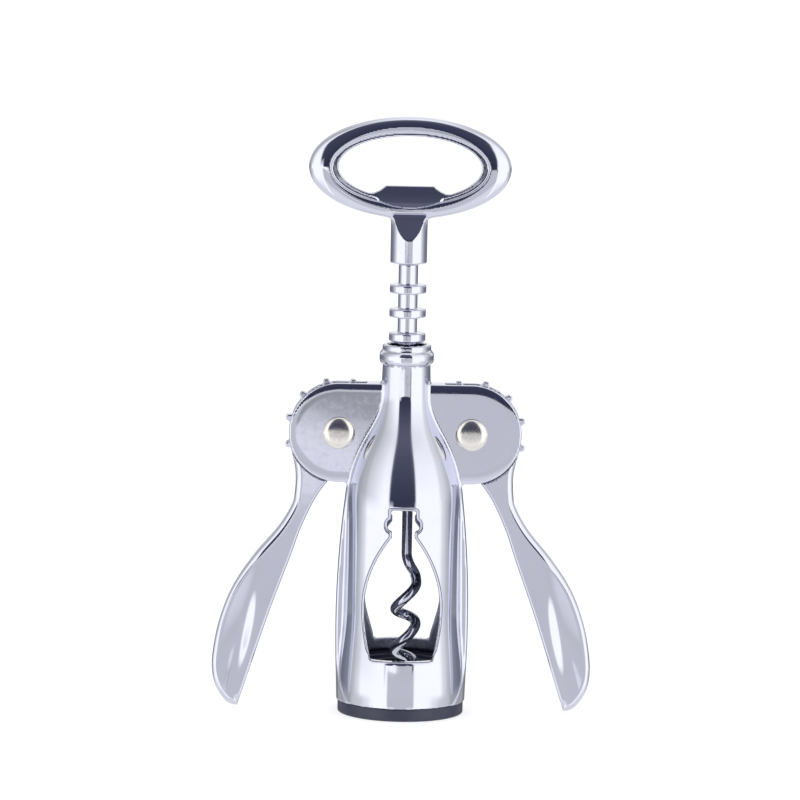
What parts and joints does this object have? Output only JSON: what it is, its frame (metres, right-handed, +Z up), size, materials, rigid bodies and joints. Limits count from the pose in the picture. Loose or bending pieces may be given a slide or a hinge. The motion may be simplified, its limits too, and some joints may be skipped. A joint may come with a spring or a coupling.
{
  "type": "wing corkscrew",
  "caption": "Wing corkscrew whose cast frame is a windowed bottle: two dished wings with toothed heads lift a ringed rack and its worm, under an oval handle with a crown-cap opener.",
  "frame": {"origin": "centre of the foot ring's underside, which rests on the table", "axes": "+Z up along the worm and the rack, +X towards the right wing, -Y towards the viewer"},
  "size_m": [0.113, 0.038, 0.1785],
  "materials": {
    "casting": "polished chrome over a zinc casting",
    "rack": "polished chrome on turned steel",
    "steel": "bright chromed steel wire",
    "rivet": "satin nickel",
    "moulding": "black moulding with a low sheen"
  },
  "bodies": {
    "frame": {"bottle_frame": "casting", "foot_ring": "moulding", "left_rivet": "rivet", "right_rivet": "rivet"},
    "rack": {"rack_sleeve": "rack"},
    "spindle": {"handle": "casting", "handle_pin": "steel", "worm": "steel", "shank_collar": "steel"},
    "left_arm": {"left_wing": "casting"},
    "right_arm": {"right_wing": "casting"}
  },
  "joints": [
    {"name": "rack_slide", "type": "slide", "parent": "frame", "child": "rack", "axis": [0, 0, 1], "range_m": [-0.0241, 0.0041]},
    {"name": "handle_spin", "type": "hinge", "parent": "rack", "child": "spindle", "pos_m": [0, 0, 0], "axis": [0, 0, 1], "continuous": true},
    {"name": "left_wing_pivot", "type": "hinge", "parent": "frame", "child": "left_arm", "pos_m": [-0.0197, 0, 0.08415], "axis": [0, 1, 0], "range_deg": [-17.2, 100.6]},
    {"name": "right_wing_pivot", "type": "hinge", "parent": "frame", "child": "right_arm", "pos_m": [0.0197, 0, 0.08415], "axis": [0, -1, 0], "range_deg": [-17.2, 100.6]}
  ],
  "couplings": [
    {"joint": "left_wing_pivot", "follows": "rack_slide", "rad_per_m": -72.722},
    {"joint": "right_wing_pivot", "follows": "rack_slide", "rad_per_m": -72.722}
  ]
}
